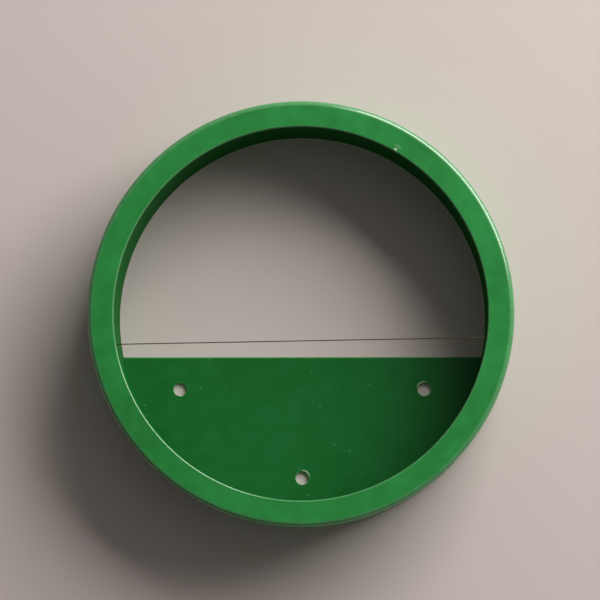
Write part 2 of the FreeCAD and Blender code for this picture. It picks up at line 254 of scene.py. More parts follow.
def powder_coat(name, greens, satin, specular, gloss, edge_polish=0.0, chipped=False,
                worn_and_lit_above=None):
    """Powder coat on Object coordinates. Greens are its deep, full and paler edge tones; the
    paler edge tone is partly paint worn thin and partly a painted highlight on the rounded
    edges. Satin is its roughness, specular the strength of its reflection, gloss that of the
    clear film on top and edge_polish what the edges add to it."""
    material = bpy.data.materials.new(name)
    material.use_nodes = True
    tree = material.node_tree
    tree.nodes.clear()
    place = add_node(tree, "ShaderNodeTexCoord").outputs["Object"]
    peel = add_node(tree, "ShaderNodeTexNoise", inputs={
        "Vector": place, "Scale": per_mm(PEEL_MM), "Detail": 2.0,
        "Roughness": 0.5}).outputs["Fac"]
    flow = add_node(tree, "ShaderNodeTexNoise", inputs={
        "Vector": place, "Scale": per_mm(FLOW_MM), "Detail": 3.0,
        "Roughness": 0.55}).outputs["Fac"]
    drift = add_node(tree, "ShaderNodeTexNoise", inputs={
        "Vector": place, "Scale": per_mm(DRIFT_MM), "Detail": 2.0,
        "Roughness": 0.5}).outputs["Fac"]
    tone = add_node(tree, "ShaderNodeMath", {"operation": "MULTIPLY"}, {
        0: flow, 1: FLOW_SHARE}).outputs[0]
    tone = add_node(tree, "ShaderNodeMath", {"operation": "MULTIPLY_ADD"}, {
        0: drift, 1: DRIFT_SHARE, 2: tone}).outputs[0]
    paint = add_node(tree, "ShaderNodeValToRGB", inputs={"Fac": tone})
    for stop, start, green in zip(paint.color_ramp.elements, (DEEP_FROM, FULL_FROM), greens):
        stop.position = start
        stop.color = linear(green)
    edge = add_node(tree, "ShaderNodeAttribute", {"attribute_name": "edge"}).outputs["Fac"]
    # Paler green where the surface turns: partly paint worn thin, partly a painted highlight on
    # the edges.
    thin = add_node(tree, "ShaderNodeMath", {"operation": "MULTIPLY"}, {0: edge, 1: peel})
    colour = blend_colour(tree, thin.outputs[0], paint.outputs["Color"], linear(greens[2]))
    roughness = add_node(tree, "ShaderNodeMapRange", inputs={
        "Value": flow, "From Min": 0.3, "From Max": 0.7,
        "To Min": satin - SATIN_SPREAD, "To Max": satin + SATIN_SPREAD}).outputs["Result"]
    metallic, height, film = 0.0, peel, gloss
    if worn_and_lit_above is not None:
        colour = wear_and_light_lips(tree, place, worn_and_lit_above, colour)
    if chipped:
        colour, metallic, height = knock_chip(tree, place, flow, colour, height)
    if edge_polish:
        film = add_node(tree, "ShaderNodeMath", {"operation": "MULTIPLY_ADD"}, {
            0: edge, 1: edge_polish, 2: gloss}).outputs[0]
    bump = add_node(tree, "ShaderNodeBump", inputs={
        "Height": height, "Distance": PEEL_HEIGHT, "Strength": 1.0})
    skin = add_node(tree, "ShaderNodeBsdfPrincipled", inputs={
        "Base Color": colour, "Roughness": roughness, "Metallic": metallic,
        "Normal": bump.outputs["Normal"], "IOR": PAINT_IOR, "Specular IOR Level": specular,
        "Coat Weight": film, "Coat IOR": FILM_IOR, "Coat Roughness": FILM_ROUGHNESS})
    add_node(tree, "ShaderNodeOutputMaterial", inputs={"Surface": skin.outputs[0]})
    print(f"{name}: {len(tree.nodes)} nodes")
    return material


# %% The three powder coats
# Lip crests standing more than this above the plate's face turn pale zinc: partly wear, partly a
# painted highlight.
HOLE_RIM_WORN_AND_LIT = 0.075 * MM
shell_coat = powder_coat("satin_green_powder_coat_on_pressed_shell", SHELL_GREENS,
                         satin=0.58, specular=0.28, gloss=0.15, edge_polish=0.5, chipped=True)
# Painted shade: the plate's and the bore's coats use darker greens for the recess.
plate_coat = powder_coat("green_powder_coat_with_painted_shade_on_plate", PLATE_GREENS_PAINTED_SHADE,
                         satin=0.34, specular=0.2, gloss=0.03,
                         worn_and_lit_above=plate_low.y - HOLE_RIM_WORN_AND_LIT)
sleeve_coat = powder_coat("green_powder_coat_with_painted_shade_in_bore", BORE_GREENS_PAINTED_SHADE,
                          satin=0.6, specular=0.02, gloss=0.0)

# %% [markdown]
# ## Small finishes
# The wire is hard-drawn steel that has gone a dull brownish grey, with lengthways die lines.
# The nibs are dust that fell into the powder before it was baked, so they are small pimples
# under a thin skin of paint. Their pale tone is partly the dust and partly a painted glint.


# %% Drawn wire and trapped dust materials
WIRE_GREY, WIRE_DARK = "#635C4E", "#423D33"
# The nibs' pale tone is partly dust and partly a painted glint.
NIB_PALE_DUST_AND_GLINT, NIB_GREEN = "#9CC79F", "#4E9A5B"
DIE_LINE_MM, DIE_LINE_DEPTH, DIE_LINE_STRETCH = 0.08, 0.004 * MM, 50
WIRE_ROUGHNESS, NIB_ROUGHNESS = 0.65, 0.3
NIB_TONE_MM = 3.0


def drawn_steel_wire():
    """Dull drawn steel. The die lines run along the wire, so the noise is stretched along X."""
    material = bpy.data.materials.new("hard_drawn_steel_wire")
    material.use_nodes = True
    tree = material.node_tree
    tree.nodes.clear()
    place = add_node(tree, "ShaderNodeTexCoord").outputs["Object"]
    along = add_node(tree, "ShaderNodeMapping", inputs={
        "Vector": place, "Scale": (1 / DIE_LINE_STRETCH, 1.0, 1.0)}).outputs[0]
    lines = add_node(tree, "ShaderNodeTexNoise", inputs={
        "Vector": along, "Scale": per_mm(DIE_LINE_MM), "Detail": 2.0})
    tone = blend_colour(tree, lines.outputs["Fac"], linear(WIRE_DARK), linear(WIRE_GREY))
    bump = add_node(tree, "ShaderNodeBump", inputs={
        "Height": lines.outputs["Fac"], "Distance": DIE_LINE_DEPTH})
    skin = add_node(tree, "ShaderNodeBsdfPrincipled", inputs={
        "Base Color": tone, "Metallic": 1.0, "Roughness": WIRE_ROUGHNESS,
        "Normal": bump.outputs["Normal"]})
    add_node(tree, "ShaderNodeOutputMaterial", inputs={"Surface": skin.outputs[0]})
    return material


def trapped_dust_and_glint():
    """Pale nibs under a thin skin of paint, each a little different. The pale tone is partly
    dust and partly a painted glint.
    """
    material = bpy.data.materials.new("dust_nibs_with_painted_glint")
    material.use_nodes = True
    tree = material.node_tree
    tree.nodes.clear()
    place = add_node(tree, "ShaderNodeTexCoord").outputs["Object"]
    patch = add_node(tree, "ShaderNodeTexNoise", inputs={
        "Vector": place, "Scale": per_mm(NIB_TONE_MM), "Detail": 1.0})
    tone = blend_colour(tree, patch.outputs["Fac"], linear(NIB_GREEN), linear(NIB_PALE_DUST_AND_GLINT))
    skin = add_node(tree, "ShaderNodeBsdfPrincipled", inputs={
        "Base Color": tone, "Roughness": NIB_ROUGHNESS, "IOR": PAINT_IOR})
    add_node(tree, "ShaderNodeOutputMaterial", inputs={"Surface": skin.outputs[0]})
    return material


wire_steel = drawn_steel_wire()
nib_dust_and_glint = trapped_dust_and_glint()
print("materials:", [material.name for material in bpy.data.materials])

# %% [markdown]
# ## From a node tree to a plain piece
# Pieces that follow a rule are grown by a Geometry Nodes tree. The tree has a named input for
# each size. It runs once on a starting curve or mesh, and the result is kept as a plain mesh at
# the origin, so nothing is left to run later. The ring's trees work about the Z axis, where
# Blender draws its circles, and end by turning that axis to the ring's own.

# %% Geometry Nodes helpers
SEAM_GAP = 0.001 * MM


def new_tree(name, sizes):
    """A tree with a named input for each size. Returns the tree and its input node."""
    tree = bpy.data.node_groups.new(name, "GeometryNodeTree")
    tree.interface.new_socket("Geometry", in_out="INPUT", socket_type="NodeSocketGeometry")
    tree.interface.new_socket("Geometry", in_out="OUTPUT", socket_type="NodeSocketGeometry")
    for label, kind in sizes.items():
        tree.interface.new_socket(label, in_out="INPUT", socket_type=f"NodeSocket{kind}")
    return tree, add_node(tree, "NodeGroupInput")


def to_ring_axis(tree, geometry):
    """Turns what was made about the Z axis to the ring's axis, and lifts it into place."""
    return add_node(tree, "GeometryNodeTransform", inputs={
        "Geometry": geometry, "Rotation": (math.radians(90), 0.0, 0.0),
        "Translation": (0.0, 0.0, ring_height)}).outputs[0]


def end_tree(tree, geometry, material):
    """Ends a tree: smooth faces, real geometry, closed seams and the material."""
    smooth = add_node(tree, "GeometryNodeSetShadeSmooth", inputs={"Geometry": geometry})
    real = add_node(tree, "GeometryNodeRealizeInstances", inputs={
        "Geometry": smooth.outputs[0]})
    closed = add_node(tree, "GeometryNodeMergeByDistance", inputs={
        "Geometry": real.outputs[0], "Distance": SEAM_GAP})
    painted = add_node(tree, "GeometryNodeSetMaterial", inputs={
        "Geometry": closed.outputs[0], "Material": material})
    add_node(tree, "NodeGroupOutput", inputs={0: painted.outputs[0]})


def grow(name, start, tree, values):
    """Runs a tree once on some starting data, and returns the result as a plain mesh. An
    instance brings an empty material slot with it, so only the finish is kept."""
    starter = bpy.data.objects.new(f"{name}_start", start)
    scene.collection.objects.link(starter)
    modifier = starter.modifiers.new(tree.name, "NODES")
    modifier.node_group = tree
    for socket in tree.interface.items_tree:
        if socket.in_out == "INPUT" and socket.name in values:
            modifier[socket.identifier] = values[socket.name]
    bpy.context.view_layer.update()
    evaluated = starter.evaluated_get(bpy.context.evaluated_depsgraph_get())
    mesh = bpy.data.meshes.new_from_object(evaluated)
    mesh.name = name
    bpy.data.objects.remove(starter)
    finish = mesh.materials[-1]
    mesh.materials.clear()
    mesh.materials.append(finish)
    mesh.polygons.foreach_set("material_index", [0] * len(mesh.polygons))
    return mesh


print("merged at a seam: anything nearer than", SEAM_GAP / MM, "mm")

# %% [markdown]
# ## Paler edges, and a place in the scene
# Powder draws back from a rounded edge, and hands polish it. Each mesh remembers where its
# surface turns sharply in an attribute called edge, which the powder coat reads. There the coat
# turns a paler green, partly for the thin paint and partly as a painted highlight.

# %% Edge marks and piece helper
FLAT_TURN, EDGE_TURN = math.radians(4), math.radians(12)


def mark_edges(mesh):
    """Stores at each corner point how sharply the faces round it turn, from 0 to 1."""
    shape = bmesh.new()
    shape.from_mesh(mesh)
    turns = []
    for vertex in shape.verts:
        turn = max((edge.calc_face_angle(0.0) for edge in vertex.link_edges), default=0.0)
        turns.append(min(1.0, max(0.0, (turn - FLAT_TURN) / (EDGE_TURN - FLAT_TURN))))
    shape.free()
    mesh.attributes.new("edge", "FLOAT", "POINT").data.foreach_set("value", turns)


def add_piece(name, mesh, replaced=None):
    """Puts a finished mesh in the scene, rides it on the body and prints the name of its finish.
    """
    mark_edges(mesh)
    piece = bpy.data.objects.new(name, mesh)
    scene.collection.objects.link(piece)
    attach(piece, BODY)
    if replaced:
        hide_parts(replaced)
    print(f"{name}: {len(mesh.polygons)} faces, {[m.name for m in mesh.materials]}")
    return piece


# Edges marked here turn a paler green: partly worn paint, partly a painted highlight.
print("an edge counts as worn from a turn of", round(math.degrees(FLAT_TURN)), "degrees")

# %% [markdown]
# ## The pressed front shell
# One disc of 1.5 mm sheet is pierced and pressed, so the flat face turns back into the outer
# wall with a 2 mm bend, while the bore's edge is only broken. A section drawn with its corners
# and carried round a circle gives exactly that. Each corner's rounding is kept in the curve's
# own radius, and a Fillet Curve node bends it. A guard point beside each bend keeps the flat
# faces' shading flat.

# %% Front shell
RIM_BEND, BORE_EDGE, CUT_EDGE = 2.0 * MM, 0.6 * MM, 0.25 * MM
GUARD_GAP = 0.12 * MM
RING_SEGMENTS, BEND_STEPS = 288, 7

ring_tree, sizes_in = new_tree("turned_section", {
    "Path radius": "Float", "Segments": "Int", "Bend steps": "Int", "Finish": "Material"})
rounding = add_node(ring_tree, "GeometryNodeInputRadius")
bent = add_node(ring_tree, "GeometryNodeFilletCurve", {"mode": "POLY"}, {
    "Curve": sizes_in.outputs["Geometry"], "Radius": rounding.outputs[0],
    "Count": sizes_in.outputs["Bend steps"]})
even = add_node(ring_tree, "GeometryNodeSetCurveRadius", inputs={
    "Curve": bent.outputs[0], "Radius": 1.0})
path = add_node(ring_tree, "GeometryNodeCurvePrimitiveCircle", inputs={
    "Resolution": sizes_in.outputs["Segments"], "Radius": sizes_in.outputs["Path radius"]})
swept = add_node(ring_tree, "GeometryNodeCurveToMesh", inputs={
    "Curve": path.outputs[0], "Profile Curve": even.outputs[0]})
end_tree(ring_tree, to_ring_axis(ring_tree, swept.outputs[0]), sizes_in.outputs["Finish"])


def section_curve(name, corners):
    """A closed curve through (distance from the axis, depth, rounding) corners. Each rounded
    corner gets a plain guard point on either side, just beyond its bend."""
    points = []
    for i, (radius, depth, rounding) in enumerate(corners):
        corner = Vector((radius - bore_radius, depth, 0.0))
        before = Vector((corners[i - 1][0] - bore_radius, corners[i - 1][1], 0.0))
        after_corner = corners[(i + 1) % len(corners)]
        after = Vector((after_corner[0] - bore_radius, after_corner[1], 0.0))
        reach = rounding + GUARD_GAP
        if rounding:
            points.append((corner + (before - corner).normalized() * reach, 0.0))
        points.append((corner, rounding))
        if rounding:
            points.append((corner + (after - corner).normalized() * reach, 0.0))
    curve = bpy.data.curves.new(name, "CURVE")
    curve.dimensions = "3D"
    spline = curve.splines.new("POLY")
    spline.points.add(len(points) - 1)
    spline.use_cyclic_u = True
    for point, (position, rounding) in zip(spline.points, points):
        point.co = (*position, 1.0)
        point.radius = rounding
    return curve


def turned_ring(name, corners, material):
    """The mesh of a section carried round the bore."""
    return grow(name, section_curve(f"{name}_section", corners), ring_tree, {
        "Path radius": bore_radius, "Segments": RING_SEGMENTS, "Bend steps": BEND_STEPS,
        "Finish": material})


wall_inside = outer_radius - steel
face_back = front + steel
shell_mesh = turned_ring("pressed_front_shell", [
    (bore_radius, front, BORE_EDGE),
    (outer_radius, front, RIM_BEND),
    (outer_radius, back, CUT_EDGE),
    (wall_inside, back, CUT_EDGE),
    (wall_inside, face_back, RIM_BEND - steel),
    (bore_radius, face_back, 0.0),
], shell_coat)
shell = add_piece("pressed_front_shell", shell_mesh, "front_shell")

# %% [markdown]
# ## The rolled sleeve
# A strip of the same sheet is rolled, butted and welded, and pushed in behind the face. It is
# the same tree with a plain rectangle for a section. Its front edge is hardly broken, so the
# seam behind the face stays a fine line that the paint nearly fills.

# %% Inner sleeve
SEAM_EDGE = 0.08 * MM
sleeve_mesh = turned_ring("rolled_inner_sleeve", [
    (bore_radius, face_back, SEAM_EDGE),
    (bore_radius + steel, face_back, 0.0),
    (bore_radius + steel, back, CUT_EDGE),
    (bore_radius, back, CUT_EDGE),
], sleeve_coat)
sleeve = add_piece("rolled_inner_sleeve", sleeve_mesh, "inner_sleeve")

# %% [markdown]
# ## The half-moon plate
# It is laser cut from the same sheet: an arc that fits the bore, a straight top edge, and three
# screw holes. Its shape is a stack of outlines, each drawn a little further in or out, and a
# flat fill between the outermost outline and the holes. Paint gathers round each hole in a thin
# raised lip, which the hole's stack of circles follows, higher on the side where the drill left
# a burr.

# %% Outlines of the plate
ARC_STEPS, CHORD_STEPS, HOLE_STEPS, ROUND_STEPS = 160, 40, 56, 4
PLATE_FIT = 0.02 * MM
PLATE_BEVEL = 1.0 * MM
TOP_EDGE, FITTED_EDGE = 0.45 * MM, 0.12 * MM
plate_front, plate_back = plate_low.y, plate_high.y
plate_radius = bore_radius - PLATE_FIT
plate_top = plate_high.z - ring_height


def plate_outline(arc, chord):
    """The half-moon as seen from the front, anticlockwise from its left corner. Arc and chord
    each give (how far in from the edge, depth)."""
    radius = plate_radius - arc[0]
    top = plate_top - chord[0]
    half_angle = math.acos(-top / radius)
    half_chord = radius * math.sin(half_angle)
    points = []
    for i in range(ARC_STEPS):
        angle = half_angle * (2 * i / ARC_STEPS - 1)
        points.append((radius * math.sin(angle), arc[1], ring_height - radius * math.cos(angle)))
    for i in range(CHORD_STEPS):
        across = half_chord * (1 - 2 * i / CHORD_STEPS)
        points.append((across, chord[1], ring_height + top))
    return points


def front_rounding(edge, turn):
    """How far in, and at what depth, a rounded front edge is after so much of its turn."""
    return edge * (1 - math.sin(turn)), plate_front + edge * (1 - math.cos(turn))


def plate_edge_stack():
    """Outlines from the front face, round the edge, to the back face. The first and the last
    are guards that keep the flat faces' shading flat."""
    stack = [plate_outline((FITTED_EDGE + GUARD_GAP, plate_front),
                           (TOP_EDGE + GUARD_GAP, plate_front))]
    for i in range(ROUND_STEPS + 1):
        turn = math.pi / 2 * i / ROUND_STEPS
        stack.append(plate_outline(front_rounding(FITTED_EDGE, turn),
                                   front_rounding(TOP_EDGE, turn)))
    for i in range(ROUND_STEPS + 1):
        part = i / ROUND_STEPS
        turn = math.pi / 2 * part
        on_arc = (PLATE_BEVEL * part, plate_back - PLATE_BEVEL * (1 - part))
        on_chord = (CUT_EDGE * (1 - math.cos(turn)),
                    plate_back - CUT_EDGE * (1 - math.sin(turn)))
        stack.append(plate_outline(on_arc, on_chord))
    stack.append(plate_outline((PLATE_BEVEL + GUARD_GAP, plate_back),
                               (CUT_EDGE + GUARD_GAP, plate_back)))
    return stack


print("outlines from front to back of the plate:", len(plate_edge_stack()))

# %% Screw holes of the plate
# The lip's points are (out from the hole's wall, height above the face) in millimetres, from
# the flat face inwards. Without a burr the lip is as high as its evenness.
LIP = [(1.15, 0.0), (0.95, 0.0), (0.70, 0.03), (0.48, 0.09), (0.28, 0.13), (0.12, 0.10),
       (0.02, 0.0), (0.0, -0.12)]
LIP_EVENNESS = 0.35
upper_holes = mounts["upper_screw_holes"]
lower_hole = mounts["lower_screw_hole"]
half_spacing = upper_holes["dims"]["spacing_x_mm"] * MM / 2
hole_radius = upper_holes["dims"]["hole_r_mm"] * MM
upper_z = upper_holes["pos_m"][2]
# Each hole is (across, height, the side that its burr is on, how much of a burr it has).
holes = [
    (-half_spacing, upper_z, math.radians(200), 0.1),
    (half_spacing, upper_z, math.radians(120), 1.0),
    (lower_hole["pos_m"][0], lower_hole["pos_m"][2], math.radians(55), 1.0),
]


def hole_circle(hole, radius, depth, lift=0.0):
    """A circle round a hole, lifted off the face most where the burr is."""
    across, height, burr_side, burr_size = hole
    points = []
    for i in range(HOLE_STEPS):
        angle = 2 * math.pi * i / HOLE_STEPS
        toward_burr = max(0.0, math.cos(angle - burr_side)) ** 2
        burr = LIP_EVENNESS + (1 - LIP_EVENNESS) * burr_size * toward_burr
        points.append((across + radius * math.cos(angle), depth - lift * burr,
                       height + radius * math.sin(angle)))
    return points


def hole_stack(hole):
    """Circles from the front face, over the paint lip, down the wall to the back face."""
    stack = [hole_circle(hole, hole_radius + out * MM, plate_front, lift * MM)
             for out, lift in LIP]
    for i in range(ROUND_STEPS + 1):
        turn = math.pi / 2 * i / ROUND_STEPS
        stack.append(hole_circle(hole, hole_radius + CUT_EDGE * (1 - math.cos(turn)),
                                 plate_back - CUT_EDGE * (1 - math.sin(turn))))
    stack.append(hole_circle(hole, hole_radius + CUT_EDGE + GUARD_GAP, plate_back))
    return stack


print("holes at", [(round(x / MM, 1), round(z / MM, 1)) for x, z, _, _ in holes])

# %% Half-moon plate


def add_stack(shape, stack):
    """Joins each outline to the next with a band of smooth faces. Returns the first and last
    outlines' edges."""
    rows = [[shape.verts.new(point) for point in outline] for outline in stack]
    count = len(stack[0])
    for upper, lower in zip(rows, rows[1:]):
        for i in range(count):
            after = (i + 1) % count
            face = shape.faces.new((upper[i], upper[after], lower[after], lower[i]))
            face.smooth = True
    ends = []
    for row in (rows[0], rows[-1]):
        ends.append([shape.edges.get((row[i], row[(i + 1) % count])) for i in range(count)])
    return ends


def half_moon_plate():
    """The plate as one closed mesh, with flat faces front and back."""
    shape = bmesh.new()
    fronts, backs = [], []
    for stack in [plate_edge_stack()] + [hole_stack(hole) for hole in holes]:
        front_edges, back_edges = add_stack(shape, stack)
        fronts += front_edges
        backs += back_edges
    for edges in (fronts, backs):
        bmesh.ops.triangle_fill(shape, edges=edges, use_beauty=True)
    bmesh.ops.recalc_face_normals(shape, faces=shape.faces)
    mesh = bpy.data.meshes.new("half_moon_plate")
    shape.to_mesh(mesh)
    open_edges = sum(1 for edge in shape.edges if not edge.is_manifold)
    volume = shape.calc_volume(signed=True)
    shape.free()
    print(f"plate: {open_edges} open edges, {volume / MM ** 3:.0f} mm3")
    return mesh


plate_mesh = half_moon_plate()
plate_mesh.materials.append(plate_coat)
plate = add_piece("half_moon_plate", plate_mesh, "mounting_plate")

# %% [markdown]
# ## Stitch welds
# The pieces are held by short runs of weld, laid from the back where they don't show. A run is
# a row of overlapping puddles, so its thickness rises and falls along an arc and dies away at
# its ends. One tree makes a run and repeats it round the ring. It makes the fillets inside the
# channel and the ones that fill the plate's bevel.

# %% Weld tree
PUDDLE_SWELL, END_BLUNTNESS = 0.14, 0.22
BEAD_STEPS_PER_PUDDLE = 6
BEAD_SIDES = 12

weld_tree, weld_in = new_tree("stitch_welds", {
    "Ring radius": "Float", "Depth": "Float", "Bead radius": "Float", "Sweep": "Float",
    "First angle": "Float", "Step": "Float", "Runs": "Int", "Puddles": "Int",
    "Finish": "Material"})
run = add_node(weld_tree, "GeometryNodeCurveArc", inputs={
    "Radius": weld_in.outputs["Ring radius"], "Sweep Angle": weld_in.outputs["Sweep"]})
steps = add_node(weld_tree, "ShaderNodeMath", {"operation": "MULTIPLY"}, {
    0: weld_in.outputs["Puddles"], 1: BEAD_STEPS_PER_PUDDLE})
run_steps = add_node(weld_tree, "GeometryNodeResampleCurve", inputs={
    "Curve": run.outputs[0], "Count": steps.outputs[0]})
along = add_node(weld_tree, "GeometryNodeSplineParameter").outputs["Factor"]
puddle = add_node(weld_tree, "ShaderNodeMath", {"operation": "MULTIPLY"}, {
    0: along, 1: weld_in.outputs["Puddles"]})
phase = add_node(weld_tree, "ShaderNodeMath", {"operation": "FRACT"}, {0: puddle.outputs[0]})
swell = add_node(weld_tree, "ShaderNodeMath", {"operation": "MULTIPLY_ADD"}, {
    0: phase.outputs[0], 1: PUDDLE_SWELL, 2: 1.0 - PUDDLE_SWELL})
half_turn = add_node(weld_tree, "ShaderNodeMath", {"operation": "MULTIPLY"}, {
    0: along, 1: math.pi})
arch = add_node(weld_tree, "ShaderNodeMath", {"operation": "SINE"}, {0: half_turn.outputs[0]})
fade = add_node(weld_tree, "ShaderNodeMath", {"operation": "POWER"}, {
    0: arch.outputs[0], 1: END_BLUNTNESS})
bead = add_node(weld_tree, "ShaderNodeMath", {"operation": "MULTIPLY"}, {
    0: swell.outputs[0], 1: fade.outputs[0]})
bead_radius = add_node(weld_tree, "ShaderNodeMath", {"operation": "MULTIPLY"}, {
    0: bead.outputs[0], 1: weld_in.outputs["Bead radius"]})
bead_profile = add_node(weld_tree, "GeometryNodeCurvePrimitiveCircle", inputs={
    "Resolution": BEAD_SIDES, "Radius": 1.0})
bead_mesh = add_node(weld_tree, "GeometryNodeCurveToMesh", inputs={
    "Curve": run_steps.outputs[0], "Profile Curve": bead_profile.outputs[0],
    "Scale": bead_radius.outputs[0], "Fill Caps": True})
run_points = add_node(weld_tree, "GeometryNodeMeshLine", inputs={
    "Count": weld_in.outputs["Runs"], "Offset": (0.0, 0.0, 0.0)})
index = add_node(weld_tree, "GeometryNodeInputIndex")
turn = add_node(weld_tree, "ShaderNodeMath", {"operation": "MULTIPLY_ADD"}, {
    0: index.outputs[0], 1: weld_in.outputs["Step"], 2: weld_in.outputs["First angle"]})
turned = add_node(weld_tree, "ShaderNodeCombineXYZ", inputs={"Z": turn.outputs[0]})
rotation = add_node(weld_tree, "FunctionNodeEulerToRotation", inputs={0: turned.outputs[0]})
runs = add_node(weld_tree, "GeometryNodeInstanceOnPoints", inputs={
    "Points": run_points.outputs[0], "Instance": bead_mesh.outputs[0],
    "Rotation": rotation.outputs[0]})
depth_down = add_node(weld_tree, "ShaderNodeMath", {"operation": "MULTIPLY"}, {
    0: weld_in.outputs["Depth"], 1: -1.0})
to_depth = add_node(weld_tree, "ShaderNodeCombineXYZ", inputs={"Z": depth_down.outputs[0]})
sunk_runs = add_node(weld_tree, "GeometryNodeTransform", inputs={
    "Geometry": runs.outputs[0], "Translation": to_depth.outputs[0]})
end_tree(weld_tree, to_ring_axis(weld_tree, sunk_runs.outputs[0]), weld_in.outputs["Finish"])
print("weld tree:", len(weld_tree.nodes), "nodes")

# %% Weld runs
SLEEVE_RUNS, PLATE_RUNS = 8, 5
SLEEVE_SWEEP, PLATE_SWEEP = 18.0, 14.0
PLATE_SPREAD = 120.0
SLEEVE_BEAD, PLATE_BEAD = 0.95 * MM, 0.48 * MM
SLEEVE_CORNER_GAP = 0.7 * MM
SLEEVE_PUDDLES, PLATE_PUDDLES = 16, 15


def weld_runs(name, replaced, values):
    """A piece with every run of one kind of weld."""
    starting_mesh = bpy.data.meshes.new(f"{name}_start")
    mesh = grow(name, starting_mesh, weld_tree, {"Finish": sleeve_coat, **values})
    return add_piece(name, mesh, replaced)


sleeve_beads = weld_runs("sleeve_weld_beads", "sleeve_welds", {
    "Ring radius": bore_radius + steel + SLEEVE_CORNER_GAP,
    "Depth": face_back + SLEEVE_CORNER_GAP,
    "Bead radius": SLEEVE_BEAD,
    "Sweep": math.radians(SLEEVE_SWEEP),
    "First angle": math.radians(-SLEEVE_SWEEP),
    "Step": math.radians(360 / SLEEVE_RUNS),
    "Runs": SLEEVE_RUNS,
    "Puddles": SLEEVE_PUDDLES,
})
plate_beads = weld_runs("plate_weld_beads", "plate_welds", {
    "Ring radius": bore_radius - PLATE_BEAD,
    "Depth": back - PLATE_BEAD,
    "Bead radius": PLATE_BEAD,
    "Sweep": math.radians(PLATE_SWEEP),
    "First angle": math.radians(-90 - PLATE_SPREAD / 2 - PLATE_SWEEP / 2),
    "Step": math.radians(PLATE_SPREAD / (PLATE_RUNS - 1)),
    "Runs": PLATE_RUNS,
    "Puddles": PLATE_PUDDLES,
})

# %% [markdown]
# ## The cross wire
# A fine steel wire pulled tight from wall to wall. It follows a path, so a tree draws the line
# between its two ends and carries a small circle along it.

# %% Cross wire
WIRE_SIDES, WIRE_STEPS = 12, 24
wire_radius = (wire_high.y - wire_low.y) / 2
wire_depth = (wire_high.y + wire_low.y) / 2

wire_tree, wire_in = new_tree("taut_wire", {
    "Left end": "Vector", "Right end": "Vector", "Wire radius": "Float", "Finish": "Material"})
line = add_node(wire_tree, "GeometryNodeCurvePrimitiveLine", inputs={
    "Start": wire_in.outputs["Left end"], "End": wire_in.outputs["Right end"]})
stepped = add_node(wire_tree, "GeometryNodeResampleCurve", inputs={
    "Curve": line.outputs[0], "Count": WIRE_STEPS})
wire_circle = add_node(wire_tree, "GeometryNodeCurvePrimitiveCircle", inputs={
    "Resolution": WIRE_SIDES, "Radius": wire_in.outputs["Wire radius"]})
wire_tube = add_node(wire_tree, "GeometryNodeCurveToMesh", inputs={
    "Curve": stepped.outputs[0], "Profile Curve": wire_circle.outputs[0], "Fill Caps": True})
end_tree(wire_tree, wire_tube.outputs[0], wire_in.outputs["Finish"])
wire_mesh = grow("drawn_cross_wire", bpy.data.meshes.new("wire_start"), wire_tree, {
    "Left end": (wire_low.x, wire_depth, wire_low.z + wire_radius),
    "Right end": (wire_high.x, wire_depth, wire_high.z - wire_radius),
    "Wire radius": wire_radius,
    "Finish": wire_steel,
})
add_piece("drawn_cross_wire", wire_mesh, "cross_wire")

# %% [markdown]
# ## Dust nibs
# A few grains of dust land in the powder before it is baked, most of all on the plate, which
# lies at the bottom of the recess and is hard to wipe before painting. A tree with a fixed seed
# scatters them over the plate's faces that look to the front, as low domes of different sizes.

# %% Dust nibs
NIB_SMALLEST, NIB_LARGEST, NIB_LOWNESS = 0.10 * MM, 0.26 * MM, 0.45
NIBS_PER_SQUARE_METRE, NIB_SEED = 3600.0, 4
FACES_FRONT = -0.999

nib_tree, nib_in = new_tree("dust_nibs", {
    "Per square metre": "Float", "Smallest": "Float", "Largest": "Float", "Seed": "Int",
    "Finish": "Material"})
facing = add_node(nib_tree, "GeometryNodeInputNormal")
apart = add_node(nib_tree, "ShaderNodeSeparateXYZ", inputs={0: facing.outputs[0]})
frontal = add_node(nib_tree, "ShaderNodeMath", {"operation": "LESS_THAN"}, {
    0: apart.outputs["Y"], 1: FACES_FRONT})
grains = add_node(nib_tree, "GeometryNodeDistributePointsOnFaces", inputs={
    "Mesh": nib_in.outputs["Geometry"], "Selection": frontal.outputs[0],
    "Density": nib_in.outputs["Per square metre"], "Seed": nib_in.outputs["Seed"]})
dome = add_node(nib_tree, "GeometryNodeMeshIcoSphere", inputs={"Radius": 1.0, "Subdivisions": 2})
grain_size = add_node(nib_tree, "FunctionNodeRandomValue", inputs={
    "Min": nib_in.outputs["Smallest"], "Max": nib_in.outputs["Largest"],
    "Seed": nib_in.outputs["Seed"]})
low = add_node(nib_tree, "ShaderNodeMath", {"operation": "MULTIPLY"}, {
    0: grain_size.outputs[1], 1: NIB_LOWNESS})
grain_scale = add_node(nib_tree, "ShaderNodeCombineXYZ", inputs={
    "X": grain_size.outputs[1], "Y": grain_size.outputs[1], "Z": low.outputs[0]})
nibs = add_node(nib_tree, "GeometryNodeInstanceOnPoints", inputs={
    "Points": grains.outputs["Points"], "Instance": dome.outputs[0],
    "Rotation": grains.outputs["Rotation"], "Scale": grain_scale.outputs[0]})
end_tree(nib_tree, nibs.outputs[0], nib_in.outputs["Finish"])
nib_mesh = grow("dust_nibs_on_plate", plate.data.copy(), nib_tree, {
    "Per square metre": NIBS_PER_SQUARE_METRE, "Smallest": NIB_SMALLEST,
    "Largest": NIB_LARGEST, "Seed": NIB_SEED, "Finish": nib_dust_and_glint})
add_piece("dust_nibs_on_plate", nib_mesh)

# %% [markdown]
# ## The stage
# The bracket hangs on a plain pale wall. The wall is painted on one side only: from behind it
# is clear, so that the bracket's back can be looked at too.

# %% Wall
WALL_COLOUR = "#D5C9C4"
WALL_SIZE = 3.0
WALL_GAP = 0.1 * MM


